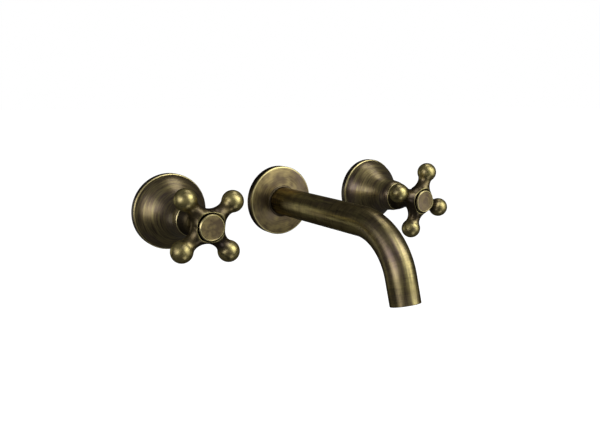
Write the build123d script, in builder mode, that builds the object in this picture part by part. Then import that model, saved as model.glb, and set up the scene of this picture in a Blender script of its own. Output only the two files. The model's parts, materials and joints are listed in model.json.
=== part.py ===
from build123d import *
from math import cos, radians, sin
import os

# Wall-mounted three-piece basin mixer: a hot valve, a fixed spout and a cold valve.
# Millimetres. +X runs to the right along the wall, +Y into the wall and +Z up.
# The origin is on the wall's face, at the centre of the spout's flange.
# "Distance" is always the distance out from the wall, into the room.

# Driving dimensions ---------------------------------------------------------------------------

VALVE_SPACING = 101.6       # spout axis to valve axis, for holes at 8 inch centres
HOT_ARM_ANGLE = 38.5        # where the first arm points when the valve is shut, from +X to +Z
COLD_ARM_ANGLE = -19.05
PIPE_THREAD_R = 10.478      # G 1/2, major radius

# bell-shaped cover
BELL_R = 30.3
BELL_LIP = 45.7             # distance of its mouth
BELL_LIP_R = 12.4
BELL_WALL = 2.0
RIM_EDGE = 0.8
SHOULDER_START = (29.5, 5.4)
SHOULDER_SLOPE = 15.0       # degrees from the axis
FLANK_SLOPE = 38.0
FLANK_LENGTH = 6.0
SHOULDER_R = 23.0
FLARE_R = 38.5
NECK_SLOPE = 3.0
INNER_FLARE_ANGLE = 26.0    # the inside stops following the flare before the collar
ROLL_R = 10.0
ROLL_SLOPE = 30.0
COVER_THREAD_R = 10.0       # M20 x 1 between cover and bonnet
GASKET_T = 2.0
WALL_GAP = 0.2              # hard rims stop this far from the wall, and the gasket touches it

# cross handle
ARM_PLANE = 72.75           # distance of the arms' axes
BALL_CENTRE = 25.6          # from the valve's axis
BALL_R = 8.15
WAIST_R = 5.4
WAIST_AT = 17.3             # from the valve's axis
SKIRT_BACK = 46.3
SKIRT_R = 12.2
SKIRT_BORE_R = 10.4
DOME_MIDDLE = (10.75, 50.4)
NECK_R = 8.3
NECK_AT = 55.5
NECK_MIDDLE = (8.9, 62.5)
HUB_R = 11.6
HUB_FRONT = 79.4
HUB_FRONT_R = 10.8

# cap in the middle of the cross
CAP_R = 9.7
CAP_FRONT = 81.0
CAP_BACK = 76.4
CAP_STEM_R = 7.0
STEM_BORE_R = 7.45
CAP_GROOVE = 0.7            # open ring around the cap

# headwork
SPINDLE_R = 5.0
RUNNING_FIT = 0.05          # radial
SPINDLE_BORE_R = SPINDLE_R + RUNNING_FIT
BONNET_BACK = -24.0
BONNET_FRONT = 43.5
CAVITY_R = 7.6
CAVITY_FRONT = -10.5
DISC_R = 7.4
DISC_T = 4.0
DISC_JOIN = -18.5           # distance of the plane where the two discs meet
FILM = 0.02                 # gap between faces that slide on each other
HEX_FLATS = 24.0
HEX_BACK = -0.5
HEX_FRONT = 7.5
THREAD_BACK = -12.5
THREAD_FRONT = -2.5
SPLINE_TEETH = 20
SPLINE_R = 4.0
SPLINE_DEPTH = 0.35
SPLINE_BACK = 53.0
SPLINE_FRONT = 66.8
BUSH_R = 6.2
BUSH_FRONT = 67.3
SCREW_R = 2.5               # M5, for the handle screw and the grub screw
SCREW_HEAD_BACK = 70.4
SEAL_GROOVE_R = 3.9         # two O-rings around the spindle
SEAL_GROOVES = (29.0, 35.0)
SEAL_GROOVE_WIDTH = 1.6
CLIP_R = 7.0
CLIP_GROOVE_R = 4.2
CLIP_BACK = 43.55
CLIP_FRONT = 44.45
KEY_WIDTH = 3.0             # key across the spindle's end that drives the moving disc
KEY_LENGTH = 12.0
KEY_DEPTH = 1.5

# spout
SPOUT_R_WALL = 12.1         # outside radius at the wall, tapering to the outlet
SPOUT_R_OUTLET = 10.95
SPOUT_WALL = 2.0
SPOUT_STRAIGHT = 118.3      # wall to the start of the bend
BEND_R = 45.2
BEND_ANGLE = 73.3
OUTLET_LENGTH = 18.9        # straight end after the bend
FLANGE_R = 30.0
FLANGE_RIM = 7.3
FLANGE_FRONT = 8.6
FLANGE_SHELL = 2.4
AERATOR_RECESS = 1.2
TUBE_BACK = 0.6             # distance of the tube's rear end
GRUB_AT = 12.0
NIPPLE_BORE_R = 7.0
PLUG_R = 9.9                # part of the nipple inside the tube
PLUG_GROOVE_R = 8.7
PLUG_GROOVES = (16.0, 19.4)
PLUG_GROOVE_WIDTH = 1.8
FLANGE_BORE_R = 12.2
FLANGE_GROOVE_R = 13.7      # for the O-ring that grips the tube


# Frames and shared shapes ---------------------------------------------------------------------

def half_section(x):
    """Plane through the axis at x: local x is the radius, local y the distance."""
    return Plane(origin=(x, 0, 0), x_dir=(1, 0, 0), z_dir=(0, 0, -1))


def facing_room(x, distance):
    """Plane parallel to the wall at a distance: its normal points into the room."""
    return Plane(origin=(x, -distance, 0), x_dir=(1, 0, 0), z_dir=(0, -1, 0))


def turning_axis(x):
    return Axis((x, 0, 0), (0, -1, 0))


def heading(slope):
    """Direction in a half section that closes in on the axis at a slope in degrees."""
    return (-sin(radians(slope)), cos(radians(slope)))


def ring_section(inner_r, outer_r, back, front):
    """Rectangle in a half section."""
    with Locations(((inner_r + outer_r) / 2, (back + front) / 2)):
        Rectangle(outer_r - inner_r, front - back)


def seal_section(inner_r, outer_r, distance):
    """Round section of an O-ring in a half section."""
    with Locations(((inner_r + outer_r) / 2, distance)):
        Circle((outer_r - inner_r) / 2)


def turned_outline(*points):
    """Closed straight-sided outline in a half section."""
    with BuildLine() as outline:
        Polyline(*points, close=True)
    make_face(outline.edges())


def disc_port(middle_angle):
    """Sector-shaped water port in a ceramic disc."""
    inner_r, outer_r, half_angle = 2.4, 6.2, 38
    with BuildLine() as outline:
        inner = CenterArc((0, 0), inner_r, middle_angle - half_angle, 2 * half_angle)
        outer = CenterArc((0, 0), outer_r, middle_angle - half_angle, 2 * half_angle)
        Line(inner @ 0, outer @ 0)
        Line(inner @ 1, outer @ 1)
    make_face(outline.edges())


def save(piece, name):
    piece.part.label = name
    export_step(piece.part, f"parts/{name}.step")


# Valve pieces ---------------------------------------------------------------------------------

def make_handle(side, x, arm_angle):
    flare_r = WAIST_AT - WAIST_R
    web = flare_r * (1 - cos(radians(45))) + WAIST_R
    ball_side = ((BALL_CENTRE - WAIST_AT) ** 2 + WAIST_R**2 - BALL_R**2) / (2 * (BALL_R - WAIST_R))
    tangency = BALL_R / (BALL_R + ball_side)
    to_centre = (WAIST_AT - BALL_CENTRE, WAIST_R + ball_side)
    with BuildPart() as handle:
        # turned hub: skirt, dome, neck and front rim
        with BuildSketch(half_section(x)):
            with BuildLine():
                back = Line((0, SKIRT_BACK), (SKIRT_R - 0.3, SKIRT_BACK))
                edge = Line(back @ 1, (SKIRT_R, SKIRT_BACK + 0.3))
                dome = ThreePointArc(edge @ 1, DOME_MIDDLE, (NECK_R, NECK_AT))
                neck = ThreePointArc(dome @ 1, NECK_MIDDLE, (HUB_R - 0.6, ARM_PLANE - 4))
                hub = ThreePointArc(neck @ 1, (HUB_R, ARM_PLANE), (HUB_FRONT_R, HUB_FRONT - 0.4))
                rim = Line(hub @ 1, (HUB_FRONT_R - 0.3, HUB_FRONT))
                front = Line(rim @ 1, (0, HUB_FRONT))
                Line(front @ 1, back @ 0)
            make_face()
        revolve(axis=turning_axis(x))
        # four arms, each turned about its own axis: web flare, waist and ball
        for quarter in range(4):
            a = radians(arm_angle + 90 * quarter)
            along = (cos(a), 0, sin(a))
            arm_section = Plane(origin=(x, -ARM_PLANE, 0), x_dir=along, z_dir=(sin(a), 0, -cos(a)))
            with BuildSketch(arm_section):
                with BuildLine():
                    core = Line((0, 0), (0, web))
                    root = Line(core @ 1, (web, web))
                    flare_middle = (
                        WAIST_AT - flare_r * sin(radians(22.5)),
                        WAIST_AT - flare_r * cos(radians(22.5)),
                    )
                    flare = ThreePointArc(root @ 1, flare_middle, (WAIST_AT, WAIST_R))
                    ball_start = (
                        BALL_CENTRE + to_centre[0] * tangency,
                        to_centre[1] * tangency,
                    )
                    throat = TangentArc(flare @ 1, ball_start, tangent=(1, 0))
                    ball = TangentArc(throat @ 1, (BALL_CENTRE + BALL_R, 0), tangent=throat % 1)
                    Line(ball @ 1, core @ 0)
                make_face()
            revolve(axis=Axis((x, -ARM_PLANE, 0), along))
        # flat front, then the stepped bore: skirt hollow, bush, screw, cap stem and cap recess
        with BuildSketch(half_section(x)):
            ring_section(0, HUB_R + 3, HUB_FRONT, HUB_FRONT + 6)
        revolve(axis=turning_axis(x), mode=Mode.SUBTRACT)
        with BuildSketch(half_section(x)):
            turned_outline(
                (0, SKIRT_BACK - 1), (SKIRT_BORE_R, SKIRT_BACK - 1), (SKIRT_BORE_R, SKIRT_BACK + 1),
                (SKIRT_BORE_R - 2, SPLINE_BACK - 1.5), (BUSH_R, SPLINE_BACK - 0.5),
                (BUSH_R, BUSH_FRONT + 0.1), (SCREW_R + 0.25, BUSH_FRONT + 0.1),
                (SCREW_R + 0.25, SCREW_HEAD_BACK), (STEM_BORE_R, SCREW_HEAD_BACK),
                (STEM_BORE_R, CAP_BACK - 0.1), (CAP_R + CAP_GROOVE, CAP_BACK - 0.1),
                (CAP_R + CAP_GROOVE, HUB_FRONT + 1), (0, HUB_FRONT + 1),
            )
        revolve(axis=turning_axis(x), mode=Mode.SUBTRACT)
    save(handle, f"{side}_handle")


def make_handle_cap(side, x):
    stem_back = 71.6
    stem_bore_r = 5.2
    groove_back = 73.2
    groove_front = 75.0
    groove_r = 5.95
    with BuildPart() as handle_cap:
        with BuildSketch(half_section(x)):
            turned_outline(
                (0, CAP_BACK), (stem_bore_r, CAP_BACK), (stem_bore_r, stem_back),
                (CAP_STEM_R, stem_back), (CAP_STEM_R, groove_back), (groove_r, groove_back),
                (groove_r, groove_front), (CAP_STEM_R, groove_front), (CAP_STEM_R, CAP_BACK),
                (CAP_R, CAP_BACK),
                (CAP_R, CAP_FRONT - 0.7), (CAP_R - 0.7, CAP_FRONT), (CAP_R - 1.1, CAP_FRONT),
                (CAP_R - 1.4, CAP_FRONT - 0.2), (0, CAP_FRONT - 0.2),
            )
        revolve(axis=turning_axis(x))
    save(handle_cap, f"{side}_handle_cap")
    with BuildPart() as cap_seal:
        with BuildSketch(half_section(x)):
            seal_section(groove_r + 0.02, STEM_BORE_R - 0.02, (groove_back + groove_front) / 2)
        revolve(axis=turning_axis(x))
    save(cap_seal, f"{side}_cap_seal")


def make_handle_screw(side, x):
    tip = 56.0
    head_front = 73.8
    head_r = 4.25
    with BuildPart() as handle_screw:
        with BuildSketch(half_section(x)):
            turned_outline(
                (0, tip), (SCREW_R - 0.5, tip), (SCREW_R, tip + 0.5), (SCREW_R, SCREW_HEAD_BACK),
                (head_r, SCREW_HEAD_BACK), (head_r, head_front - 0.4),
                (head_r - 0.4, head_front), (0, head_front),
            )
        revolve(axis=turning_axis(x))
        with BuildSketch(facing_room(x, head_front)):
            RegularPolygon(radius=2.0, side_count=6, major_radius=False)
        extrude(amount=-2, mode=Mode.SUBTRACT)
    save(handle_screw, f"{side}_handle_screw")


def make_spline_bush(side, x):
    bore_r = SPLINE_R + RUNNING_FIT
    tip_r = bore_r - SPLINE_DEPTH + RUNNING_FIT
    half_tooth = 0.22
    with BuildPart() as spline_bush:
        with BuildSketch(facing_room(x, SPLINE_BACK)):
            Circle(BUSH_R)
            Circle(bore_r, mode=Mode.SUBTRACT)
            with PolarLocations(0, SPLINE_TEETH):
                with BuildLine():
                    Polyline(
                        (bore_r + 0.1, half_tooth), (tip_r, 0), (bore_r + 0.1, -half_tooth),
                        close=True,
                    )
                make_face()
        extrude(amount=BUSH_FRONT - SPLINE_BACK)
    save(spline_bush, f"{side}_spline_bush")


def make_spindle(side, x):
    flange_back = -14.5
    flange_front = -11.5
    neck_r = 4.6
    tap_back = 55.0
    grooves = []
    for back in SEAL_GROOVES:
        front = back + SEAL_GROOVE_WIDTH
        grooves += [(SPINDLE_R, back), (SEAL_GROOVE_R, back)]
        grooves += [(SEAL_GROOVE_R, front), (SPINDLE_R, front)]
    with BuildPart() as spindle:
        with BuildSketch(half_section(x)):
            turned_outline(
                (0, flange_back), (DISC_R, flange_back), (DISC_R, flange_front),
                (SPINDLE_R, flange_front), *grooves, (SPINDLE_R, CLIP_BACK),
                (CLIP_GROOVE_R, CLIP_BACK), (CLIP_GROOVE_R, CLIP_FRONT), (SPINDLE_R, CLIP_FRONT),
                (SPINDLE_R, SKIRT_BACK - 0.3), (neck_r, SKIRT_BACK + 0.1),
                (neck_r, SPLINE_BACK - 1), (SPLINE_R, SPLINE_BACK - 0.4),
                (SPLINE_R, SPLINE_FRONT - 0.4), (SPLINE_R - 0.4, SPLINE_FRONT), (0, SPLINE_FRONT),
            )
        revolve(axis=turning_axis(x))
        # two flats on the flange let the water past
        with BuildSketch(facing_room(x, flange_back)):
            with Locations((DISC_R, 0), (-DISC_R, 0)):
                Rectangle(5.6, 2 * DISC_R)
        extrude(amount=flange_front - flange_back, mode=Mode.SUBTRACT)
        with BuildSketch(facing_room(x, flange_back)):
            Rectangle(KEY_WIDTH, KEY_LENGTH)
        extrude(amount=-KEY_DEPTH)
        # splines
        with BuildSketch(facing_room(x, SPLINE_BACK)):
            with PolarLocations(0, SPLINE_TEETH):
                with BuildLine():
                    Polyline(
                        (SPLINE_R - SPLINE_DEPTH, 0), (SPLINE_R + 0.2, 0.4),
                        (SPLINE_R + 0.2, -0.4), close=True,
                    )
                make_face()
        extrude(amount=SPLINE_FRONT - SPLINE_BACK, mode=Mode.SUBTRACT)
        # tapped hole for the handle's screw
        with BuildSketch(facing_room(x, tap_back)):
            Circle(SCREW_R)
        extrude(amount=SPLINE_FRONT - tap_back, mode=Mode.SUBTRACT)
    save(spindle, f"{side}_spindle")
    with BuildPart() as spindle_seals:
        with BuildSketch(half_section(x)):
            for back in SEAL_GROOVES:
                seal_section(SEAL_GROOVE_R, SPINDLE_BORE_R - 0.03, back + SEAL_GROOVE_WIDTH / 2)
        revolve(axis=turning_axis(x))
    save(spindle_seals, f"{side}_spindle_seals")
    with BuildPart() as circlip:
        with BuildSketch(facing_room(x, CLIP_BACK + 0.05)):
            Circle(CLIP_R)
            Circle(CLIP_GROOVE_R, mode=Mode.SUBTRACT)
            # opening between the ends
            with Locations((CLIP_R - 1, 0)):
                Rectangle(6, 3, mode=Mode.SUBTRACT)
        extrude(amount=CLIP_FRONT - CLIP_BACK - 0.1)
    save(circlip, f"{side}_circlip")


def make_discs(side, x):
    with BuildPart() as moving_disc:
        with BuildSketch(facing_room(x, DISC_JOIN + FILM)):
            Circle(DISC_R)
        extrude(amount=DISC_T - FILM)
        with BuildSketch(facing_room(x, DISC_JOIN)):
            disc_port(0)
            disc_port(180)
        extrude(amount=DISC_T, mode=Mode.SUBTRACT)
        with BuildSketch(facing_room(x, DISC_JOIN + DISC_T)):
            Rectangle(KEY_WIDTH + 0.1, KEY_LENGTH + 0.2)
        extrude(amount=-KEY_DEPTH - 0.1, mode=Mode.SUBTRACT)
    save(moving_disc, f"{side}_moving_disc")
    with BuildPart() as fixed_disc:
        with BuildSketch(facing_room(x, DISC_JOIN - DISC_T)):
            Circle(CAVITY_R - 0.02)
        extrude(amount=DISC_T)
        with BuildSketch(facing_room(x, DISC_JOIN - DISC_T)):
            disc_port(90)
            disc_port(270)
        extrude(amount=DISC_T, mode=Mode.SUBTRACT)
    save(fixed_disc, f"{side}_fixed_disc")
    seal_bore_r = 5.6
    seal_proud = 0.8
    with BuildPart() as disc_seal:
        with BuildSketch(half_section(x)):
            ring_section(
                seal_bore_r, CAVITY_R - 0.02, BONNET_BACK - seal_proud, DISC_JOIN - DISC_T
            )
        revolve(axis=turning_axis(x))
    save(disc_seal, f"{side}_disc_seal")
    washer_bore_r = 5.3
    washer_t = 0.98
    with BuildPart() as thrust_washer:
        with BuildSketch(half_section(x)):
            ring_section(washer_bore_r, CAVITY_R - 0.05, CAVITY_FRONT - washer_t, CAVITY_FRONT)
        revolve(axis=turning_axis(x))
    save(thrust_washer, f"{side}_thrust_washer")


def make_bonnet(side, x):
    cage_r = 9.2
    relief_r = 9.8
    seal_r = 12.8
    window_back = -18.0
    window_length = 4.8
    window_width = 8.0
    with BuildPart() as bonnet:
        # hexagon, then everything that is turned
        with BuildSketch(facing_room(x, HEX_BACK)):
            RegularPolygon(radius=HEX_FLATS / 2, side_count=6, major_radius=False)
        extrude(amount=HEX_FRONT - HEX_BACK)
        with BuildSketch(half_section(x)):
            turned_outline(
                (0, BONNET_BACK), (cage_r - 0.4, BONNET_BACK), (cage_r, BONNET_BACK + 0.4),
                (cage_r, THREAD_BACK), (PIPE_THREAD_R, THREAD_BACK),
                (PIPE_THREAD_R, THREAD_FRONT), (relief_r, THREAD_FRONT), (relief_r, HEX_BACK),
                (relief_r, HEX_FRONT), (COVER_THREAD_R, HEX_FRONT),
                (COVER_THREAD_R, BONNET_FRONT - 0.8), (COVER_THREAD_R - 0.8, BONNET_FRONT),
                (0, BONNET_FRONT),
            )
        revolve(axis=turning_axis(x))
        with BuildSketch(half_section(x)):
            turned_outline(
                (0, BONNET_BACK - 1), (CAVITY_R, BONNET_BACK - 1), (CAVITY_R, CAVITY_FRONT),
                (SPINDLE_BORE_R, CAVITY_FRONT), (SPINDLE_BORE_R, BONNET_FRONT + 1),
                (0, BONNET_FRONT + 1),
            )
        revolve(axis=turning_axis(x), mode=Mode.SUBTRACT)
        # two side windows where the water leaves the cage
        with BuildSketch(facing_room(x, window_back)):
            Rectangle(3 * cage_r, window_width)
        extrude(amount=window_length, mode=Mode.SUBTRACT)
    save(bonnet, f"{side}_bonnet")
    with BuildPart() as bonnet_seal:
        with BuildSketch(half_section(x)):
            ring_section(relief_r, seal_r, THREAD_FRONT, HEX_BACK)
        revolve(axis=turning_axis(x))
    save(bonnet_seal, f"{side}_bonnet_seal")


def make_bell(side, x):
    lip_bore_r = 11.4
    collar_r = COVER_THREAD_R + RUNNING_FIT
    collar_back = 34.5
    collar_front = 42.3
    gasket_r = (24.2, 27.8)
    rebate_r = (24.0, 28.0)
    inward = (-cos(radians(SHOULDER_SLOPE)), -sin(radians(SHOULDER_SLOPE)))
    inner_start = (
        SHOULDER_START[0] + BELL_WALL * inward[0],
        SHOULDER_START[1] + BELL_WALL * inward[1],
    )
    with BuildPart() as bell:
        with BuildSketch(half_section(x)):
            with BuildLine():
                # outside: rim, convex shoulder, straight flank, concave flare and rolled lip
                rim = Line((BELL_R, WALL_GAP), (BELL_R, SHOULDER_START[1] - RIM_EDGE - 0.3))
                edge = TangentArc(rim @ 1, SHOULDER_START, tangent=rim % 1)
                shoulder = JernArc(
                    edge @ 1, heading(SHOULDER_SLOPE), SHOULDER_R, FLANK_SLOPE - SHOULDER_SLOPE
                )
                flank = Line(shoulder @ 1, shoulder @ 1 + FLANK_LENGTH * (shoulder % 1))
                flare = JernArc(flank @ 1, flank % 1, FLARE_R, NECK_SLOPE - FLANK_SLOPE)
                roll = JernArc(flare @ 1, flare % 1, ROLL_R, ROLL_SLOPE - NECK_SLOPE)
                lip = Polyline(
                    roll @ 1, (BELL_LIP_R, BELL_LIP - 0.5), (BELL_LIP_R - 0.5, BELL_LIP),
                    (lip_bore_r, BELL_LIP), (lip_bore_r, collar_front),
                    (collar_r, collar_front), (collar_r, collar_back),
                )
                # inside: threaded collar, thin wall and the rebate that holds the gasket
                inner_shoulder = JernArc(
                    inner_start, heading(SHOULDER_SLOPE), SHOULDER_R - BELL_WALL,
                    FLANK_SLOPE - SHOULDER_SLOPE,
                )
                inner_flank = Line(
                    inner_shoulder @ 1, inner_shoulder @ 1 + FLANK_LENGTH * (inner_shoulder % 1)
                )
                inner_flare = JernArc(
                    inner_flank @ 1, inner_flank % 1, FLARE_R + BELL_WALL, -INNER_FLARE_ANGLE
                )
                Line(inner_flare @ 1, lip @ 1)
                Polyline(
                    inner_shoulder @ 0, (rebate_r[0], GASKET_T + 2.5), (rebate_r[0], GASKET_T),
                    (rebate_r[1], GASKET_T), (rebate_r[1], WALL_GAP), rim @ 0,
                )
            make_face()
        revolve(axis=turning_axis(x))
    save(bell, f"{side}_bell")
    with BuildPart() as bell_gasket:
        with BuildSketch(half_section(x)):
            ring_section(*gasket_r, 0, GASKET_T)
        revolve(axis=turning_axis(x))
    save(bell_gasket, f"{side}_bell_gasket")


# Spout pieces ---------------------------------------------------------------------------------

def spout_radius(travelled):
    """Outside radius of the tube at a length along its centre line from the wall."""
    total = SPOUT_STRAIGHT + BEND_R * radians(BEND_ANGLE) + OUTLET_LENGTH
    return SPOUT_R_WALL + (SPOUT_R_OUTLET - SPOUT_R_WALL) * travelled / total


def outlet_plane(depth):
    """Plane across the outlet, at a depth inside it: its normal points out with the water."""
    a = radians(BEND_ANGLE)
    mouth = (
        0,
        -SPOUT_STRAIGHT - BEND_R * sin(a) - OUTLET_LENGTH * cos(a),
        -BEND_R * (1 - cos(a)) - OUTLET_LENGTH * sin(a),
    )
    return Plane(origin=mouth, x_dir=(1, 0, 0), z_dir=(0, -cos(a), -sin(a))).offset(-depth)


def make_spout_tube():
    bend_length = BEND_R * radians(BEND_ANGLE)
    with BuildPart() as spout_tube:
        with BuildLine(Plane.YZ) as route:
            straight = Line((-TUBE_BACK, 0), (-SPOUT_STRAIGHT, 0))
            bend = JernArc(straight @ 1, (-1, 0), BEND_R, BEND_ANGLE)
            outlet = Line(bend @ 1, bend @ 1 + OUTLET_LENGTH * (bend % 1))
        for inset, mode in ((0, Mode.ADD), (SPOUT_WALL, Mode.SUBTRACT)):
            for piece, end, travelled in (
                (straight, 0, TUBE_BACK),
                (bend, 0, SPOUT_STRAIGHT),
                (bend, 1, SPOUT_STRAIGHT + bend_length),
                (outlet, 1, SPOUT_STRAIGHT + bend_length + OUTLET_LENGTH),
            ):
                with BuildSketch(Plane(origin=piece @ end, x_dir=(1, 0, 0), z_dir=piece % end)):
                    Circle(spout_radius(travelled) - inset)
            sweep(path=route.wire(), multisection=True, mode=mode)
        mouth = spout_tube.faces().sort_by(Axis.Z)[0]
        fillet(mouth.edges(), 0.5)
        # tapped hole for the grub screw, under the tube
        with BuildSketch(Plane((0, -GRUB_AT, -SPOUT_R_WALL - 1))):
            Circle(SCREW_R)
        extrude(amount=SPOUT_WALL + 3, mode=Mode.SUBTRACT)
    save(spout_tube, "spout_tube")


def make_spout_flange():
    edge_r = 0.9
    shell_back = FLANGE_FRONT - FLANGE_SHELL
    collar_front = FLANGE_FRONT + 0.8
    hub_r = 15.5
    groove_back = 3.2
    groove_front = 4.8
    rebate_r = (24.0, 27.7)
    with BuildPart() as spout_flange:
        with BuildSketch(half_section(0)):
            with BuildLine():
                rim = Line((FLANGE_R, WALL_GAP), (FLANGE_R, FLANGE_RIM - edge_r))
                edge = TangentArc(rim @ 1, (FLANGE_R - edge_r, FLANGE_RIM), tangent=rim % 1)
                dome = ThreePointArc(edge @ 1, (22.0, FLANGE_RIM + 0.8), (14.3, FLANGE_FRONT))
                collar = ThreePointArc(dome @ 1, (13.5, FLANGE_FRONT + 0.2), (13.1, collar_front))
                Polyline(
                    collar @ 1, (FLANGE_BORE_R + 0.2, collar_front + 0.2),
                    (FLANGE_BORE_R, collar_front),
                    (FLANGE_BORE_R, groove_front), (FLANGE_GROOVE_R, groove_front),
                    (FLANGE_GROOVE_R, groove_back), (FLANGE_BORE_R, groove_back),
                    (FLANGE_BORE_R, TUBE_BACK + 0.2), (hub_r, TUBE_BACK + 0.2),
                    (hub_r, shell_back), (rebate_r[0] - 1.5, shell_back - 0.6),
                    (rebate_r[0], GASKET_T + 1.4), (rebate_r[0], GASKET_T),
                    (rebate_r[1], GASKET_T), (rebate_r[1], WALL_GAP), rim @ 0,
                )
            make_face()
        revolve(axis=turning_axis(0))
    save(spout_flange, "spout_flange")
    with BuildPart() as flange_seal:
        with BuildSketch(half_section(0)):
            seal_section(SPOUT_R_WALL, FLANGE_GROOVE_R - 0.02, (groove_back + groove_front) / 2)
        revolve(axis=turning_axis(0))
    save(flange_seal, "flange_seal")
    with BuildPart() as spout_gasket:
        with BuildSketch(half_section(0)):
            ring_section(rebate_r[0] + 0.2, rebate_r[1] - 0.2, 0, GASKET_T)
        revolve(axis=turning_axis(0))
    save(spout_gasket, "spout_gasket")


def make_spout_nipple():
    back = -20.0
    thread_front = -3.5
    relief_r = 9.8
    shoulder = (-2.0, 0.4)
    shoulder_r = 11.8
    front = 23.2
    notch_r = 8.6           # V-groove that the grub screw's cone point sits in
    notch = [
        (PLUG_R, GRUB_AT - 2.8), (notch_r, GRUB_AT - 1.1),
        (notch_r, GRUB_AT + 1.1), (PLUG_R, GRUB_AT + 2.8),
    ]
    grooves = []
    for groove_back in PLUG_GROOVES:
        groove_front = groove_back + PLUG_GROOVE_WIDTH
        grooves += [(PLUG_R, groove_back), (PLUG_GROOVE_R, groove_back)]
        grooves += [(PLUG_GROOVE_R, groove_front), (PLUG_R, groove_front)]
    with BuildPart() as spout_nipple:
        with BuildSketch(half_section(0)):
            turned_outline(
                (NIPPLE_BORE_R, back), (PIPE_THREAD_R - 1, back), (PIPE_THREAD_R, back + 1),
                (PIPE_THREAD_R, thread_front), (relief_r, thread_front), (relief_r, shoulder[0]),
                (shoulder_r, shoulder[0]), (shoulder_r, shoulder[1]), (PLUG_R, shoulder[1]),
                *notch, *grooves, (PLUG_R, front - 0.6), (PLUG_R - 0.6, front),
                (NIPPLE_BORE_R, front),
            )
        revolve(axis=turning_axis(0))
    save(spout_nipple, "spout_nipple")
    with BuildPart() as nipple_seals:
        with BuildSketch(half_section(0)):
            for groove_back in PLUG_GROOVES:
                seal_section(PLUG_GROOVE_R, PLUG_R + 0.06, groove_back + PLUG_GROOVE_WIDTH / 2)
        revolve(axis=turning_axis(0))
    save(nipple_seals, "nipple_seals")
    point = 8.65            # radii, from the spout's axis, of the screw's point, cone and head
    cone = 9.9
    head = 11.9
    with BuildPart() as grub_screw:
        with BuildSketch(Plane(origin=(0, -GRUB_AT, 0), x_dir=(1, 0, 0), z_dir=(0, 1, 0))):
            turned_outline(
                (0, point), (1, point), (SCREW_R, cone), (SCREW_R, head - 0.3),
                (SCREW_R - 0.3, head), (0, head),
            )
        revolve(axis=Axis((0, -GRUB_AT, 0), (0, 0, 1)))
        with BuildSketch(Plane((0, -GRUB_AT, -head))):
            RegularPolygon(radius=1.25, side_count=6, major_radius=False)
        extrude(amount=1.6, mode=Mode.SUBTRACT)
    save(grub_screw, "grub_screw")


def make_aerator():
    housing_r = SPOUT_R_OUTLET - SPOUT_WALL - 0.02
    housing_bore_r = 7.6
    housing_length = 8.5
    screen_recess = 1.6
    screen_length = 5.0
    jet_r = 0.9
    seal_bore_r = 6.8
    seal_t = 1.8
    with BuildPart() as aerator_housing:
        with BuildSketch(outlet_plane(AERATOR_RECESS + housing_length)):
            Circle(housing_r)
            Circle(housing_bore_r, mode=Mode.SUBTRACT)
        extrude(amount=housing_length)
        chamfer(aerator_housing.edges().sort_by(Axis.Z)[0], 0.4)
        # two notches for the key
        with BuildSketch(outlet_plane(AERATOR_RECESS)):
            Rectangle(2 * housing_r + 1, 2)
        extrude(amount=-1.5, mode=Mode.SUBTRACT)
    save(aerator_housing, "aerator_housing")
    with BuildPart() as aerator_screen:
        with BuildSketch(outlet_plane(AERATOR_RECESS + screen_recess + screen_length)):
            Circle(housing_bore_r - 0.02)
            Circle(jet_r, mode=Mode.SUBTRACT)
            for ring_r, jets in ((2.7, 6), (5.4, 12)):
                with PolarLocations(ring_r, jets):
                    Circle(jet_r, mode=Mode.SUBTRACT)
        extrude(amount=screen_length)
    save(aerator_screen, "aerator_screen")
    with BuildPart() as aerator_seal:
        with BuildSketch(outlet_plane(AERATOR_RECESS + housing_length + seal_t)):
            Circle(housing_r)
            Circle(seal_bore_r, mode=Mode.SUBTRACT)
        extrude(amount=seal_t)
    save(aerator_seal, "aerator_seal")


# Build ----------------------------------------------------------------------------------------

os.makedirs("parts", exist_ok=True)
for side, x, arm_angle in (
    ("hot", -VALVE_SPACING, HOT_ARM_ANGLE),
    ("cold", VALVE_SPACING, COLD_ARM_ANGLE),
):
    make_handle(side, x, arm_angle)
    make_handle_cap(side, x)
    make_handle_screw(side, x)
    make_spline_bush(side, x)
    make_spindle(side, x)
    make_discs(side, x)
    make_bonnet(side, x)
    make_bell(side, x)
make_spout_tube()
make_spout_flange()
make_spout_nipple()
make_aerator()
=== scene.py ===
import bmesh
import bpy
import json
import math
import numpy as np
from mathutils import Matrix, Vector


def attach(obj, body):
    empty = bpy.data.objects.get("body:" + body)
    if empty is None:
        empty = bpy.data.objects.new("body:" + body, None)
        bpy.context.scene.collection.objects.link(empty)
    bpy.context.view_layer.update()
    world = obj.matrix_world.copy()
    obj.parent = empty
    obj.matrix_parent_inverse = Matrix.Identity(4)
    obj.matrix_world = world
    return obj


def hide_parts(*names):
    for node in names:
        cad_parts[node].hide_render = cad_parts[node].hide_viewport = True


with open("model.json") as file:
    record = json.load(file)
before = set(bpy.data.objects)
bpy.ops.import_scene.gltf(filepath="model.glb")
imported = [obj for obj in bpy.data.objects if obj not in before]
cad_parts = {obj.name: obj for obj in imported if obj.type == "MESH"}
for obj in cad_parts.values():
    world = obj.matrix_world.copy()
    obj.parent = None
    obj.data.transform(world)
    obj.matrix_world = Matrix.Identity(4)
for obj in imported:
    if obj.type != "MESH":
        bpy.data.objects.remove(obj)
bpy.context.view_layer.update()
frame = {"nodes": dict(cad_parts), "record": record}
nodes = frame["nodes"]
scene = bpy.context.scene

VALVE_X = {"hot": -0.1016, "cold": 0.1016}


# Shader helpers -------------------------------------------------------------------------------

def srgb(red, green, blue):
    """Linear colour of an sRGB one given in 0 to 255."""
    channels = [c / 255 for c in (red, green, blue)]
    return tuple(c / 12.92 if c <= 0.04045 else ((c + 0.055) / 1.055) ** 2.4 for c in channels) + (1,)


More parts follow.
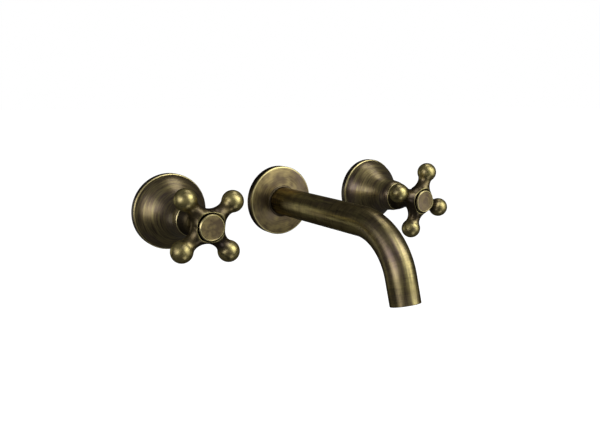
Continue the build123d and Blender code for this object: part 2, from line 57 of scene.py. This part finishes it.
class Shade:
    """A material's node tree, with one short call for each kind of node."""

    def __init__(self, name, metallic, roughness):
        self.material = bpy.data.materials.new(name)
        self.material.use_nodes = True
        self.tree = self.material.node_tree
        self.shader = self.tree.nodes["Principled BSDF"]
        self.shader.inputs["Metallic"].default_value = metallic
        self.shader.inputs["Roughness"].default_value = roughness
        self.position = self.add("ShaderNodeTexCoord").outputs["Object"]

    def add(self, kind, **settings):
        node = self.tree.nodes.new(kind)
        for key, value in settings.items():
            setattr(node, key, value)
        return node

    def feed(self, socket, value):
        if isinstance(value, bpy.types.NodeSocket):
            self.tree.links.new(value, socket)
        else:
            socket.default_value = value

    def math(self, operation, *values, clamp=False):
        node = self.add("ShaderNodeMath", operation=operation, use_clamp=clamp)
        for socket, value in zip(node.inputs, values):
            self.feed(socket, value)
        return node.outputs[0]

    def split(self, vector):
        node = self.add("ShaderNodeSeparateXYZ")
        self.feed(node.inputs[0], vector)
        return node.outputs

    def join(self, x, y, z):
        node = self.add("ShaderNodeCombineXYZ")
        for socket, value in zip(node.inputs, (x, y, z)):
            self.feed(socket, value)
        return node.outputs[0]

    def scaled(self, vector, factor):
        node = self.add("ShaderNodeVectorMath", operation="SCALE")
        self.feed(node.inputs[0], vector)
        self.feed(node.inputs["Scale"], factor)
        return node.outputs[0]

    def step(self, value, low, high, start=0.0, end=1.0):
        """Smooth change from start to end as value goes from low to high."""
        node = self.add("ShaderNodeMapRange", interpolation_type="SMOOTHSTEP")
        for socket, number in zip(node.inputs, (value, low, high, start, end)):
            self.feed(socket, number)
        return node.outputs[0]

    def noise(self, scale, detail=3.0, rough=0.55, across=None, stretch=1.0, point=None):
        """Noise over the surface. With across, it makes streaks that run square to it."""
        node = self.add("ShaderNodeTexNoise", noise_dimensions="3D" if across is None else "4D")
        node.inputs["Scale"].default_value = 1.0
        node.inputs["Detail"].default_value = detail
        node.inputs["Roughness"].default_value = rough
        self.feed(node.inputs["Vector"], self.scaled(point or self.position, scale * stretch))
        if across is not None:
            self.feed(node.inputs["W"], self.math("MULTIPLY", across, scale))
        return node.outputs["Fac"]

    def mix(self, factor, first, second, blend="MIX"):
        node = self.add("ShaderNodeMix", data_type="RGBA", blend_type=blend)
        self.feed(node.inputs[0], factor)
        self.feed(node.inputs[6], first)
        self.feed(node.inputs[7], second)
        return node.outputs[2]

    def near(self, point, ring, reach):
        """1 on a ring given by its radius and distance from the wall, fading out at reach."""
        node = self.add("ShaderNodeVectorMath", operation="DISTANCE")
        self.feed(node.inputs[0], point)
        node.inputs[1].default_value = (ring[0], ring[1], 0)
        return self.step(node.outputs["Value"], reach, 0.25 * reach)

    def crevice_shade(self, distance):
        """1 in the open, falling where other surfaces stand closer than the distance."""
        node = self.add("ShaderNodeAmbientOcclusion", samples=8)
        node.inputs["Distance"].default_value = distance
        return node.outputs["AO"]

    def bump(self, height, strength, distance):
        node = self.add("ShaderNodeBump")
        node.inputs["Strength"].default_value = strength
        node.inputs["Distance"].default_value = distance
        self.feed(node.inputs["Height"], height)
        self.feed(self.shader.inputs["Normal"], node.outputs["Normal"])


# Finishes -------------------------------------------------------------------------------------

UMBER = srgb(97, 82, 62)
OLIVE = srgb(162, 144, 97)
PLUM = srgb(128, 110, 102)
GOLD = srgb(212, 198, 130)          # rubbed
BARE = srgb(234, 218, 156)          # edges worn to the metal
SOOT_AND_SHADE = srgb(50, 43, 35)             # thickest bronzing, and the dark of painted shade
EDGE_TINT = (0.30, 0.27, 0.21, 1)   # bronzed brass stays dark where it is seen edge on
GRAIN_DEPTH = 0.00006
FINE_GRAIN_DEPTH = 0.00005
FINE_SHARE = 0.24                   # of the finest grain in the patina


def antique_brass(name, across=None, wear=None, rims=None, soot_and_shade=None, crevice_shade=0.004,
                  streaks=0.34, polish=0.0, coat=0.25):
    """Bronzed brass: olive and umber clouds, brush streaks, rubbed edges, and black painted shade in
    the corners and gaps.

    across, wear, rims and soot_and_shade are functions of the Shade that return the coordinate square
    to the brushing, where the brass is rubbed, its bare edges, and where the bronzing is thickest and
    shade is painted.
    crevice_shade is how near another surface must stand for shade to be painted on this one, streaks
    the share of the brushing in the patina, polish what is taken off the roughness, and coat the
    weight of the lacquer.
    """
    s = Shade(name, 1.0, 0.34)
    s.shader.inputs["Specular Tint"].default_value = EDGE_TINT
    s.shader.inputs["Coat Weight"].default_value = coat
    s.shader.inputs["Coat Roughness"].default_value = 0.25
    coordinate = across(s) if across else None
    clouds = s.noise(70, detail=2)
    tint = s.noise(42, detail=2, rough=0.4)
    if coordinate is None:
        fine = s.noise(420, detail=3)
        broad = s.noise(150, detail=3)
    else:
        fine = s.noise(1500, detail=2, rough=0.6, across=coordinate, stretch=0.09)
        broad = s.noise(520, detail=3, rough=0.7, across=coordinate, stretch=0.11)
    patina = s.math("ADD", s.math("MULTIPLY", clouds, 1 - FINE_SHARE - streaks),
                    s.math("MULTIPLY", broad, streaks))
    patina = s.math("ADD", patina, s.math("MULTIPLY", fine, FINE_SHARE))
    colour = s.mix(s.step(patina, 0.38, 0.62), UMBER, OLIVE)
    colour = s.mix(s.step(tint, 0.48, 0.68, 0.0, 0.6), colour, PLUM)
    if wear:
        rubbed = s.math("MULTIPLY", wear(s), s.step(broad, 0.25, 0.55, 0.55, 1.0), clamp=True)
        colour = s.mix(rubbed, colour, GOLD)
    if rims:
        colour = s.mix(rims(s), colour, BARE)
    # bronzing and painted shade, from the mask each material is given
    if soot_and_shade:
        colour = s.mix(soot_and_shade(s), colour, SOOT_AND_SHADE)
    # painted shade: black where other surfaces stand close, in corners and in gaps between parts
    colour = s.mix(s.step(s.crevice_shade(crevice_shade), 0.75, 0.25), colour, SOOT_AND_SHADE)
    s.feed(s.shader.inputs["Base Color"], colour)
    grain = 0.20 if across else 0.06
    rough = s.math("ADD", s.math("MULTIPLY", fine, grain), 0.27 - polish)
    s.feed(s.shader.inputs["Roughness"], rough)
    if across:
        s.bump(s.math("ADD", fine, broad), 0.3, GRAIN_DEPTH)
    else:
        s.bump(broad, 0.1, GRAIN_DEPTH)
    return s.material


# cross handle: fades run over a distance from the wall or a radius from the valve's axis
SKIRT_SHADE_FADE = (0.058, 0.051)
HUB_SHADE_FADE = (0.0225, 0.0135)
BALL_FADE = (0.0170, 0.0240)
CAP_GROOVE_SHADE = [(0.0098, 0.0792, 0.0011, 1.0)]
HUB_RIM = [(0.0109, 0.0791, 0.0011, 0.8)]


def handle_soot_and_shade(centre_x):
    """Painted shade, black in the skirt behind the cross and round the cap; bronzing and painted
    shade in the casting's hollows; and dark specks of dirt all over.
    """
    def mask(s):
        radius, distance = turned(centre_x)(s)
        # painted shade on the skirt behind the cross
        skirt_shade = s.step(distance, *SKIRT_SHADE_FADE, 0.0, 0.85)
        # the casting's hollows: bronzing kept there, darkened further as painted shade
        hollows = s.math("MULTIPLY", attribute("soot_and_shade")(s), 0.8)
        # painted shade round the hub; the specks added to it below are dirt
        hub = s.step(radius, *HUB_SHADE_FADE, 0.0, 0.60)
        # painted shade in the groove round the cap
        groove_shade = on_rings(centre_x, CAP_GROOVE_SHADE)(s)
        specks = s.step(s.noise(260, detail=2), 0.52, 0.74, 0.0, 0.6)
        hub = s.math("MAXIMUM", hub, specks)
        return s.math("MAXIMUM", s.math("MAXIMUM", groove_shade, hub), s.math("MAXIMUM", skirt_shade, hollows))
    return mask


def turned(centre_x):
    """Radius from a valve's or the spout's axis, and distance from the wall."""
    def measure(s):
        x, y, z = s.split(s.position)
        offset = s.math("SUBTRACT", x, centre_x)
        radius = s.math("SQRT", s.math("ADD", s.math("MULTIPLY", offset, offset),
                                       s.math("MULTIPLY", z, z)))
        return radius, s.math("MULTIPLY", y, -1.0)
    return measure


def turned_across(centre_x):
    """Coordinate square to the rings that turning or brushing on a lathe leaves."""
    def across(s):
        radius, distance = turned(centre_x)(s)
        return s.math("SUBTRACT", radius, s.math("MULTIPLY", distance, 0.8))
    return across


def on_rings(centre_x, rings):
    """Strongest of several rings, each (radius, distance, reach, strength)."""
    def mask(s):
        radius, distance = turned(centre_x)(s)
        point = s.join(radius, distance, 0.0)
        result = 0.0
        for ring_radius, ring_distance, reach, strength in rings:
            ring = s.near(point, (ring_radius, ring_distance), reach)
            result = s.math("MAXIMUM", s.math("MULTIPLY", ring, strength), result)
        return result
    return mask


def attribute(name):
    """Strength that a casting's mesh holds for each point."""
    def mask(s):
        node = s.add("ShaderNodeAttribute", attribute_name=name)
        return node.outputs["Fac"]
    return mask


def brushed_bright(centre_x):
    """Streaks of barer brass that the brushing of a bell leaves."""
    def mask(s):
        lines = s.noise(340, detail=3, rough=0.7, across=turned_across(centre_x)(s), stretch=0.12)
        return s.step(lines, 0.44, 0.68, 0.0, 0.45)
    return mask


def rubbed_casting(centre_x):
    """Rubbed on its ridges, and by hands on the balls and round the cap."""
    def mask(s):
        radius, distance = turned(centre_x)(s)
        balls = s.step(radius, *BALL_FADE, 0.0, 0.80)
        blotches = s.step(s.noise(190, detail=2), 0.32, 0.58, 0.5, 1.0)
        ridges = s.step(attribute("wear")(s), 0.50, 0.85, 0.0, 0.3)
        rim = on_rings(centre_x, HUB_RIM)(s)
        rubbed = s.math("MAXIMUM", s.math("MULTIPLY", balls, blotches), ridges)
        return s.math("MAXIMUM", rubbed, rim)
    return mask


BEND_START = 0.1183         # the spout's centre line: distance from the wall, radius and angle
BEND_R = 0.0452
BEND_ANGLE = math.radians(73.3)


def spout_point(s):
    """A point of the spout as if it were straight: sideways, above its centre line, along it."""
    x, y, z = s.split(s.position)
    out = s.math("SUBTRACT", s.math("MULTIPLY", y, -1.0), BEND_START)
    rise = s.math("ADD", z, BEND_R)
    angle = s.math("ARCTAN2", s.math("MAXIMUM", out, 0.0), rise)
    angle = s.math("MINIMUM", angle, BEND_ANGLE)
    sine, cosine = s.math("SINE", angle), s.math("COSINE", angle)
    above = s.math("ADD", s.math("MULTIPLY", out, sine), s.math("MULTIPLY", rise, cosine))
    along = s.math("SUBTRACT", s.math("MULTIPLY", out, cosine), s.math("MULTIPLY", rise, sine))
    along = s.math("ADD", along, s.math("MULTIPLY", angle, BEND_R))
    return x, s.math("SUBTRACT", above, BEND_R), along


def spout_across(s):
    """The spout is brushed round its tube, square to its length."""
    return spout_point(s)[2]


def drawn_lines(s, scale, offset):
    """Streaks that run along the spout."""
    x, above, along = spout_point(s)
    slow = s.math("ADD", s.math("MULTIPLY", along, 0.10), offset)
    return s.noise(scale, detail=3, rough=0.6, point=s.join(x, above, slow))


def spout_rubbed(s):
    """Rubbed in patches and lines, and a little more before the bend than after it."""
    handled = s.step(spout_across(s), -0.03, 0.03, 0.75, 0.55)
    patches = s.step(s.noise(55, detail=3), 0.32, 0.58, 0.3, 1.0)
    lines = s.step(drawn_lines(s, 190, 0.0), 0.40, 0.62, 0.15, 1.0)
    return s.math("MULTIPLY", handled, s.math("MULTIPLY", patches, lines))


def spout_soot(s):
    """Dark lines left along the tube."""
    return s.step(drawn_lines(s, 240, 0.2), 0.50, 0.68, 0.0, 0.55)


def plain_finish(name, metallic, roughness, first, second, scale, bump=0.1):
    """Fine grain between two close colours, for everything that isn't bronzed."""
    s = Shade(name, metallic, roughness)
    grain = s.noise(scale, detail=4)
    s.feed(s.shader.inputs["Base Color"], s.mix(s.step(grain, 0.35, 0.65), first, second))
    s.bump(grain, bump, FINE_GRAIN_DEPTH)
    return s.material


# Castings -------------------------------------------------------------------------------------

CASTING_VOXEL = 0.00035
ROUNDING_STEPS = 10
CURVATURE_STEPS = 40        # how far the curvature looks around each point
BLUR_STEPS = 12
WEAR_GAIN = 2.2             # per voxel of height over the smoothed surface
SOOT_AND_SHADE_GAIN = 1.5             # per voxel of depth under it


def casting(name, source):
    """A copy of a CAD node with its sharp corners rounded as a casting's are.

    Its attributes wear and soot_and_shade hold how far each point stands out or lies in a hollow.
    """
    mesh = source.data.copy()
    piece = bpy.data.objects.new(name, mesh)
    scene.collection.objects.link(piece)
    mesh.materials.clear()
    remesh = piece.modifiers.new("remesh", "REMESH")
    remesh.mode = "VOXEL"
    remesh.voxel_size = CASTING_VOXEL
    bpy.context.view_layer.update()
    evaluated = piece.evaluated_get(bpy.context.evaluated_depsgraph_get())
    solid = bpy.data.meshes.new_from_object(evaluated)
    piece.modifiers.clear()
    piece.data = solid
    points, edges = read_mesh(solid)
    points = relax(points, edges, ROUNDING_STEPS)
    solid.vertices.foreach_set("co", points.astype(np.float32).ravel())
    solid.update()
    for polygon in solid.polygons:
        polygon.use_smooth = True
    normals = np.zeros(len(solid.vertices) * 3, np.float32)
    solid.vertex_normals.foreach_get("vector", normals)
    normals = normals.reshape(-1, 3)
    height = ((points - relax(points, edges, CURVATURE_STEPS)) * normals).sum(1, keepdims=True)
    height = relax(height, edges, BLUR_STEPS)[:, 0] / CASTING_VOXEL
    for attribute_name, values in (("wear", height * WEAR_GAIN), ("soot_and_shade", -height * SOOT_AND_SHADE_GAIN)):
        layer = solid.attributes.new(attribute_name, "FLOAT", "POINT")
        layer.data.foreach_set("value", np.clip(values, 0, 1).astype(np.float32))
    return piece


def read_mesh(mesh):
    """Vertices as rows of coordinates, and edges as pairs of vertex numbers."""
    points = np.zeros(len(mesh.vertices) * 3, np.float32)
    mesh.vertices.foreach_get("co", points)
    edges = np.zeros(len(mesh.edges) * 2, np.int32)
    mesh.edges.foreach_get("vertices", edges)
    return points.reshape(-1, 3).astype(float), edges.reshape(-1, 2)


def relax(points, edges, steps):
    """Moves every vertex towards the middle of its neighbours, several times."""
    count = np.bincount(edges.ravel(), minlength=len(points)).astype(float)
    result = points
    for _ in range(steps):
        total = np.empty_like(result)
        for axis in range(result.shape[1]):
            column = result[:, axis]
            total[:, axis] = (
                np.bincount(edges[:, 0], column[edges[:, 1]], len(result))
                + np.bincount(edges[:, 1], column[edges[:, 0]], len(result))
            )
        result = 0.5 * result + 0.5 * total / count[:, None]
    return result


for side, x in VALVE_X.items():
    piece = casting(f"{side}_cross_handle", nodes[f"{side}_handle"])
    piece.data.materials.append(antique_brass(
        f"{side}_handle_brass", wear=rubbed_casting(x), soot_and_shade=handle_soot_and_shade(x), polish=-0.06))
    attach(piece, f"{side}_cross")
    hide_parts(f"{side}_handle")


# Pipe threads ---------------------------------------------------------------------------------

PITCH = 0.001814            # G 1/2, 14 threads to the inch
CREST_R = 0.010473
ROOT_R = 0.009316
CORE_R = 0.0089             # inside of the threaded sleeve, hidden in the solid pipe end
SHANK_R = 0.00985           # whatever is thicker than this is the plain pipe end
CREST_CLEARANCE = 0.00004   # keeps the crests inside the CAD solid's box
END_MARGIN = 0.0001
SHARP_ANGLE = math.radians(35)
TURN_STEPS = 96
PITCH_STEPS = 12
THREADS = (
    ("spout_nipple", 0.0, 0.0035, 0.0199),
    ("hot_bonnet", VALVE_X["hot"], 0.0025, 0.0125),
    ("cold_bonnet", VALVE_X["cold"], 0.0025, 0.0125),
)


def thread_radius(turn, start, end, y):
    """Rounded thread form, cut down to its root at both ends."""
    wave = 0.5 + 0.5 * math.cos(math.tau * (y / PITCH - turn))
    lead_in = min(y - start, end - y)
    return ROOT_R + min((CREST_R - ROOT_R) * wave, lead_in) - CREST_CLEARANCE


def threaded(name, source, centre_x, start, end):
    """A copy of a CAD node whose plain pipe end, from y = start to end, has its thread cut."""
    mesh = source.data.copy()
    mesh.materials.clear()
    if "custom_normal" in mesh.attributes:
        mesh.attributes.remove(mesh.attributes["custom_normal"])
    for vertex in mesh.vertices:
        radius = math.hypot(vertex.co.x - centre_x, vertex.co.z)
        if radius > SHANK_R and start - END_MARGIN < vertex.co.y < end + END_MARGIN:
            shrink = ROOT_R / radius
            vertex.co.x = centre_x + (vertex.co.x - centre_x) * shrink
            vertex.co.z *= shrink
    shape = bmesh.new()
    shape.from_mesh(mesh)
    rows = round((end - start) / PITCH * PITCH_STEPS)
    levels = [start + (end - start) * i / rows for i in range(rows + 1)]
    rings = []
    for y in levels:
        rings.append([(thread_radius(k / TURN_STEPS, start, end, y), y) for k in range(TURN_STEPS)])
    rings.append([(CORE_R, end)] * TURN_STEPS)
    rings.append([(CORE_R, start)] * TURN_STEPS)
    loops = []
    for ring in rings:
        loop = []
        for k, (radius, y) in enumerate(ring):
            angle = math.tau * k / TURN_STEPS
            loop.append(shape.verts.new((centre_x + radius * math.cos(angle), y,
                                         radius * math.sin(angle))))
        loops.append(loop)
    for i, loop in enumerate(loops):
        after = loops[(i + 1) % len(loops)]
        for k in range(TURN_STEPS):
            beside = (k + 1) % TURN_STEPS
            shape.faces.new((loop[k], after[k], after[beside], loop[beside]))
    shape.to_mesh(mesh)
    shape.free()
    for polygon in mesh.polygons:
        polygon.use_smooth = True
    mesh.set_sharp_from_angle(angle=SHARP_ANGLE)
    piece = bpy.data.objects.new(name, mesh)
    scene.collection.objects.link(piece)
    return piece


THREADED = []
for node, x, start, end in THREADS:
    piece = threaded(f"{node}_threaded", nodes[node], x, start, end)
    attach(piece, "body")
    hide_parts(node)
    THREADED.append(piece)


# Materials on the CAD nodes -------------------------------------------------------------------

MM = 0.001


def rings_mm(*rings):
    """Rings given by radius, distance from the wall and reach in millimetres, and strength."""
    return [(r * MM, d * MM, reach * MM, strength) for r, d, reach, strength in rings]


BELL_WEAR = rings_mm((29.5, 5.5, 1.1, 1.0), (12.2, 45.6, 0.9, 0.9))
# painted shade: a dark band on the bell rim's side next to the wall
BELL_RIM_SHADE = rings_mm((30.6, 2.4, 3.0, 0.9))
FLANGE_WEAR = rings_mm((29.4, 7.4, 1.0, 0.9))
# painted shade: dark on the flange rim's side next to the wall and round the spout's root
FLANGE_SHADE = rings_mm((30.2, 3.0, 3.6, 0.95), (13.0, 9.4, 1.6, 0.6))
CAP_BRUSHING = {"hot": None, "cold": turned_across(VALVE_X["cold"])}    # the hot cap is worn smooth
CAP_WEAR = rings_mm((9.2, 80.8, 0.9, 0.9))
# painted shade: a dark ring round the cap's foot
CAP_FOOT_SHADE = rings_mm((9.7, 77.5, 2.6, 0.9))


def put(node, material):
    """Gives a CAD node its material."""
    mesh = nodes[node].data
    mesh.materials.clear()
    mesh.materials.append(material)


for side, x in VALVE_X.items():
    put(f"{side}_bell", antique_brass(
        f"{side}_bell_brass", across=turned_across(x), wear=brushed_bright(x),
        rims=on_rings(x, BELL_WEAR), soot_and_shade=on_rings(x, BELL_RIM_SHADE), streaks=0.5, coat=0.6))
    put(f"{side}_handle_cap", antique_brass(
        f"{side}_cap_brass", across=CAP_BRUSHING[side], rims=on_rings(x, CAP_WEAR),
        soot_and_shade=on_rings(x, CAP_FOOT_SHADE), crevice_shade=0.002))
put("spout_flange", antique_brass(
    "flange_brass", across=turned_across(0.0), rims=on_rings(0.0, FLANGE_WEAR),
    soot_and_shade=on_rings(0.0, FLANGE_SHADE), streaks=0.16))
put("spout_tube", antique_brass(
    "spout_brass", across=spout_across, wear=spout_rubbed, soot_and_shade=spout_soot, polish=0.05))
put("aerator_housing", antique_brass("aerator_brass"))

machined = plain_finish("machined_brass", 1.0, 0.3, srgb(196, 168, 104), srgb(214, 190, 128), 300)
stainless = plain_finish("stainless", 1.0, 0.32, srgb(170, 170, 172), srgb(196, 196, 198), 400)
rubber = plain_finish("rubber", 0.0, 0.7, srgb(24, 24, 24), srgb(38, 37, 36), 900, 0.3)
nylon = plain_finish("nylon", 0.0, 0.5, srgb(214, 210, 198), srgb(226, 222, 212), 500)
alumina = plain_finish("alumina", 0.0, 0.25, srgb(232, 230, 224), srgb(240, 238, 232), 300, 0.03)
FINISH = {"plain_brass": machined, "steel": stainless, "rubber": rubber, "nylon": nylon,
          "ceramic": alumina}
for piece in THREADED:
    piece.data.materials.append(machined)
for entry in frame["record"]["subparts"]:
    if entry["material_slot"] in FINISH:
        put(entry["node"], FINISH[entry["material_slot"]])


# Stage, light and camera ----------------------------------------------------------------------

FLOOR_REACH = 30.0
FLOOR_HEIGHT = -0.45


def make_floor():
    """White floor that shines evenly, and that reflections don't show."""
    s = Shade("floor_white", 0.0, 0.9)
    grain = s.noise(3.0)
    white = s.mix(grain, srgb(246, 246, 246), srgb(250, 250, 250))
    s.feed(s.shader.inputs["Base Color"], white)
    s.feed(s.shader.inputs["Emission Color"], white)
    s.shader.inputs["Emission Strength"].default_value = 1.0
    mesh = bpy.data.meshes.new("floor")
    corners = [(x * FLOOR_REACH, y * FLOOR_REACH, FLOOR_HEIGHT)
               for x, y in ((-1, -1), (1, -1), (1, 1), (-1, 1))]
    mesh.from_pydata(corners, [], [(0, 1, 2, 3)])
    mesh.materials.append(s.material)
    floor = bpy.data.objects.new("floor", mesh)
    scene.collection.objects.link(floor)
    floor.visible_glossy = False


def softbox(name, azimuth, elevation, power, tone):
    """Area light that faces the object. Azimuth 0 is straight out from the wall, 90 is +X."""
    light = bpy.data.lights.new(name, "AREA")
    light.shape = "DISK"
    light.size = LIGHT_SIZE
    light.energy = power
    light.color = tone
    lamp = bpy.data.objects.new(name, light)
    scene.collection.objects.link(lamp)
    turn, tilt = math.radians(azimuth), math.radians(elevation)
    away = Vector((math.sin(turn) * math.cos(tilt), -math.cos(turn) * math.cos(tilt),
                   math.sin(tilt)))
    lamp.location = OBJECT_MIDDLE + away * LIGHT_DISTANCE
    lamp.rotation_euler = away.to_track_quat("Z", "Y").to_euler()


OBJECT_MIDDLE = Vector((0.0, -0.06, 0.0))
LIGHT_DISTANCE = 1.2
LIGHT_SIZE = 0.62
WARM = (0.98, 1.0, 0.94)
COOL = (0.95, 0.94, 1.0)
# name, azimuth and elevation in degrees, watts, tone
LIGHTS = (
    ("high_box", 34, 44, 2.6, WARM),
    ("key_box", 44, 24, 2.0, WARM),
    ("front_box", 18, 30, 1.5, WARM),
    ("sill_box", 26, 14, 1.1, WARM),
    ("waist_box", 38, -3, 1.1, WARM),
    ("knee_box", 18, -13, 0.3, WARM),
    ("crown_box", 1, 54, 1.1, COOL),
    ("back_box", 106, 71, 1.5, COOL),
    ("far_left_box", -91, 23, 0.6, COOL),
    ("left_box", -79, 6, 1.5, COOL),
    ("near_left_box", -64, 14, 1.4, COOL),
    ("rear_box", -147, -4, 0.5, WARM),
    ("floor_box", 5, -48, 0.9, COOL),
)

make_floor()
for lamp_row in LIGHTS:
    softbox(*lamp_row)

world = bpy.data.worlds.new("studio")
world.use_nodes = True
scene.world = world
sky = world.node_tree


def sky_node(kind, **settings):
    """A node of the world's tree."""
    node = sky.nodes.new(kind)
    for key, value in settings.items():
        setattr(node, key, value)
    return node


# reflections see a dim room, brighter towards its front and ceiling, and the camera sees white
BRIGHT_SIDE = (0.15, -0.72, 0.68)
ROOM_RANGE = (-0.3, 1.0, 0.06, 0.17)    # from and to along that direction, dim and bright

toward = sky_node("ShaderNodeVectorMath", operation="DOT_PRODUCT")
toward.inputs[1].default_value = BRIGHT_SIDE
sky.links.new(sky_node("ShaderNodeTexCoord").outputs["Generated"], toward.inputs[0])
fill = sky_node("ShaderNodeMapRange", interpolation_type="SMOOTHSTEP")
for number, socket in zip(ROOM_RANGE, list(fill.inputs)[1:5]):
    socket.default_value = number
sky.links.new(toward.outputs["Value"], fill.inputs["Value"])
room = sky.nodes["Background"]
sky.links.new(fill.outputs["Result"], room.inputs["Color"])
seen = sky_node("ShaderNodeBackground")
seen.inputs["Color"].default_value = (1, 1, 1, 1)
choose = sky_node("ShaderNodeMixShader")
sky.links.new(sky_node("ShaderNodeLightPath").outputs["Is Camera Ray"], choose.inputs[0])
sky.links.new(room.outputs[0], choose.inputs[1])
sky.links.new(seen.outputs[0], choose.inputs[2])
sky.links.new(choose.outputs[0], sky.nodes["World Output"].inputs[0])
scene.view_settings.view_transform = "Standard"

CAMERA_PLACE = (-0.2818, -0.46164, 0.08784)
LOOKS_DOWN = math.radians(11.28)
LOOKS_RIGHT = math.radians(33.557)

camera_data = bpy.data.cameras.new("camera")
camera_data.sensor_width = 36
camera_data.lens = 37.0
camera = bpy.data.objects.new("camera", camera_data)
scene.collection.objects.link(camera)
camera.location = CAMERA_PLACE
camera.rotation_euler = (math.radians(90) - LOOKS_DOWN, 0, -LOOKS_RIGHT)
scene.camera = camera
